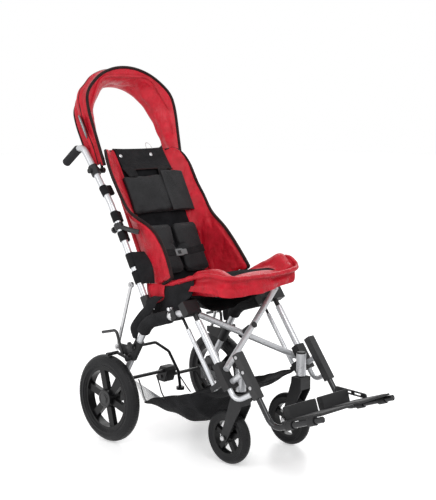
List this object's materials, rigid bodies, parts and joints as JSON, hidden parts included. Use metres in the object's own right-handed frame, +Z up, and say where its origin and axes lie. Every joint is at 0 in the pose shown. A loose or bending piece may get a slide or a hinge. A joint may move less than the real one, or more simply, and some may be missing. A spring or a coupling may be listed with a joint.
{
  "type": "special needs stroller",
  "caption": "Umbrella-folding pushchair with a reclined padded seat, side wings, canopy, footrest, swivel casters, braked rear wheels and a hanging basket.",
  "frame": {"origin": "on the floor under the middle of the overall box", "axes": "+Z up, -Y to the front of the stroller, +X to the child's left"},
  "size_m": [0.5568, 1.142, 1.2432],
  "materials": {
    "silver_tube": "pearl silver paint, satin",
    "chrome_tube": "bright chrome",
    "black_metal": "black powder coat",
    "black_plastic": "moulded black plastic",
    "wheel_rim": "moulded black plastic",
    "tyre": "black rubber",
    "grip_foam": "black foam rubber",
    "zinc": "zinc plated",
    "red_fabric": "red woven nylon",
    "black_fabric": "charcoal woven fabric",
    "neoprene": "black foam-backed jersey"
  },
  "bodies": {
    "seat": {"seat_sling": "black_fabric", "seat_pad": "red_fabric", "back_pad": "black_fabric", "left_wing": "red_fabric", "right_wing": "red_fabric", "trunk_wrap": "neoprene", "hip_belt": "neoprene", "basket": "black_fabric", "lock_plate": "black_plastic"},
    "canopy": {"canopy_cover": "red_fabric", "canopy_bow": "black_metal"},
    "left_side": {"left_push_tube": "silver_tube", "left_grip": "grip_foam", "left_rear_leg": "silver_tube", "left_rail_cover": "black_fabric", "left_rear_stay": "zinc", "left_frame_brackets": "black_plastic", "left_rear_axle": "black_metal", "left_canopy_clamp": "black_plastic", "left_back_straps": "black_fabric", "left_leg_sleeve": "black_plastic"},
    "left_front": {"left_front_leg": "silver_tube", "left_front_hub": "black_plastic", "left_caster_housing": "silver_tube", "left_foot_channel": "black_metal"},
    "left_foot": {"left_foot_tube": "chrome_tube"},
    "left_plate": {"left_foot_plate": "black_plastic", "left_foot_brace": "black_metal"},
    "left_caster": {"left_caster_fork": "black_plastic"},
    "left_caster_wheel": {"left_caster_rim": "wheel_rim", "left_caster_tyre": "tyre"},
    "left_rear_wheel": {"left_rear_rim": "wheel_rim", "left_rear_tyre": "tyre"},
    "left_brake": {"left_brake_lever": "black_metal"},
    "right_side": {"right_push_tube": "silver_tube", "right_grip": "grip_foam", "right_rear_leg": "silver_tube", "right_rail_cover": "black_fabric", "right_rear_stay": "zinc", "right_frame_brackets": "black_plastic", "right_rear_axle": "black_metal", "right_canopy_clamp": "black_plastic", "right_back_straps": "black_fabric", "right_leg_sleeve": "black_plastic"},
    "right_front": {"right_front_leg": "silver_tube", "right_front_hub": "black_plastic", "right_caster_housing": "silver_tube", "right_foot_channel": "black_metal"},
    "right_foot": {"right_foot_tube": "chrome_tube"},
    "right_plate": {"right_foot_plate": "black_plastic"},
    "right_caster": {"right_caster_fork": "black_plastic"},
    "right_caster_wheel": {"right_caster_rim": "wheel_rim", "right_caster_tyre": "tyre"},
    "right_rear_wheel": {"right_rear_rim": "wheel_rim", "right_rear_tyre": "tyre"},
    "right_brake": {"right_brake_lever": "black_metal"},
    "front_cross": {"front_cross_tube": "silver_tube"},
    "rear_cross": {"rear_cross_tube": "silver_tube"},
    "cross_pivot": {"cross_pin": "black_plastic"},
    "release": {"release_lever": "black_metal"}
  },
  "joints": [
    {"name": "fold", "type": "slide", "parent": "seat", "child": "right_side", "axis": [1, 0, 0], "range_m": [0, 0.08], "deforming": ["seat_sling", "seat_pad", "back_pad", "left_wing", "right_wing", "trunk_wrap", "hip_belt", "basket", "canopy_cover", "canopy_bow"]},
    {"name": "left_close", "type": "slide", "parent": "seat", "child": "left_side", "axis": [-1, 0, 0], "range_m": [0, 0.08]},
    {"name": "left_leg_slide", "type": "slide", "parent": "left_side", "child": "left_front", "axis": [0, -0.5878, -0.809], "range_m": [0, 0.14782]},
    {"name": "right_leg_slide", "type": "slide", "parent": "right_side", "child": "right_front", "axis": [0, -0.5878, -0.809], "range_m": [0, 0.14782]},
    {"name": "cross_slide", "type": "slide", "parent": "seat", "child": "cross_pivot", "axis": [0, -0.5878, -0.809], "range_m": [0, 0.07391]},
    {"name": "front_cross_turn", "type": "hinge", "parent": "cross_pivot", "child": "front_cross", "pos_m": [0, -0.12082, 0.39408], "axis": [0, -0.809, 0.5878], "range_deg": [0, 30.19]},
    {"name": "rear_cross_turn", "type": "hinge", "parent": "cross_pivot", "child": "rear_cross", "pos_m": [0, -0.12082, 0.39408], "axis": [0, 0.809, -0.5878], "range_deg": [0, 30.19]},
    {"name": "left_plate_flip", "type": "hinge", "parent": "left_foot", "child": "left_plate", "pos_m": [0.165, -0.38309, 0.159], "axis": [0, 0.9397, -0.342], "range_deg": [0, 96]},
    {"name": "right_plate_flip", "type": "hinge", "parent": "right_foot", "child": "right_plate", "pos_m": [-0.165, -0.38309, 0.159], "axis": [0, -0.9397, 0.342], "range_deg": [0, 96]},
    {"name": "left_foot_slide", "type": "slide", "parent": "left_front", "child": "left_foot", "axis": [0, 0.5878, 0.809], "range_m": [0, 0.05]},
    {"name": "left_swivel", "type": "hinge", "parent": "left_front", "child": "left_caster", "pos_m": [0.14, -0.22627, 0.276], "axis": [0, 0, 1], "continuous": true},
    {"name": "left_caster_spin", "type": "hinge", "parent": "left_caster", "child": "left_caster_wheel", "pos_m": [0.14, -0.17627, 0.086], "axis": [1, 0, 0], "continuous": true},
    {"name": "left_rear_spin", "type": "hinge", "parent": "left_side", "child": "left_rear_wheel", "pos_m": [0.255, 0.27073, 0.145], "axis": [1, 0, 0], "continuous": true},
    {"name": "left_brake_release", "type": "hinge", "parent": "left_side", "child": "left_brake", "pos_m": [0.23, 0.20073, 0.285], "axis": [1, 0, 0], "range_deg": [0, 20]},
    {"name": "right_foot_slide", "type": "slide", "parent": "right_front", "child": "right_foot", "axis": [0, 0.5878, 0.809], "range_m": [0, 0.05]},
    {"name": "right_swivel", "type": "hinge", "parent": "right_front", "child": "right_caster", "pos_m": [-0.14, -0.22627, 0.276], "axis": [0, 0, -1], "continuous": true},
    {"name": "right_caster_spin", "type": "hinge", "parent": "right_caster", "child": "right_caster_wheel", "pos_m": [-0.14, -0.17627, 0.086], "axis": [1, 0, 0], "continuous": true},
    {"name": "right_rear_spin", "type": "hinge", "parent": "right_side", "child": "right_rear_wheel", "pos_m": [-0.255, 0.27073, 0.145], "axis": [1, 0, 0], "continuous": true},
    {"name": "right_brake_release", "type": "hinge", "parent": "right_side", "child": "right_brake", "pos_m": [-0.23, 0.20073, 0.285], "axis": [1, 0, 0], "range_deg": [0, 20]},
    {"name": "release_press", "type": "hinge", "parent": "right_side", "child": "release", "pos_m": [-0.1916, 0.17473, 0.328], "axis": [1, 0, 0], "range_deg": [0, 10], "stiffness_Nm_per_rad": 1.5},
    {"name": "canopy_tilt", "type": "hinge", "parent": "seat", "child": "canopy", "pos_m": [0, 0.39906, 0.89], "axis": [1, 0, 0], "range_deg": [-5, 50]}
  ],
  "couplings": [
    {"joint": "left_close", "follows": "fold", "ratio": 1},
    {"joint": "left_leg_slide", "follows": "fold", "ratio": 1.8476},
    {"joint": "right_leg_slide", "follows": "fold", "ratio": 1.8476},
    {"joint": "cross_slide", "follows": "fold", "ratio": 0.92379},
    {"joint": "front_cross_turn", "follows": "fold", "rad_per_m": 6.5863},
    {"joint": "rear_cross_turn", "follows": "fold", "rad_per_m": 6.5863},
    {"joint": "left_plate_flip", "follows": "fold", "rad_per_m": 20.944},
    {"joint": "right_plate_flip", "follows": "fold", "rad_per_m": 20.944}
  ]
}
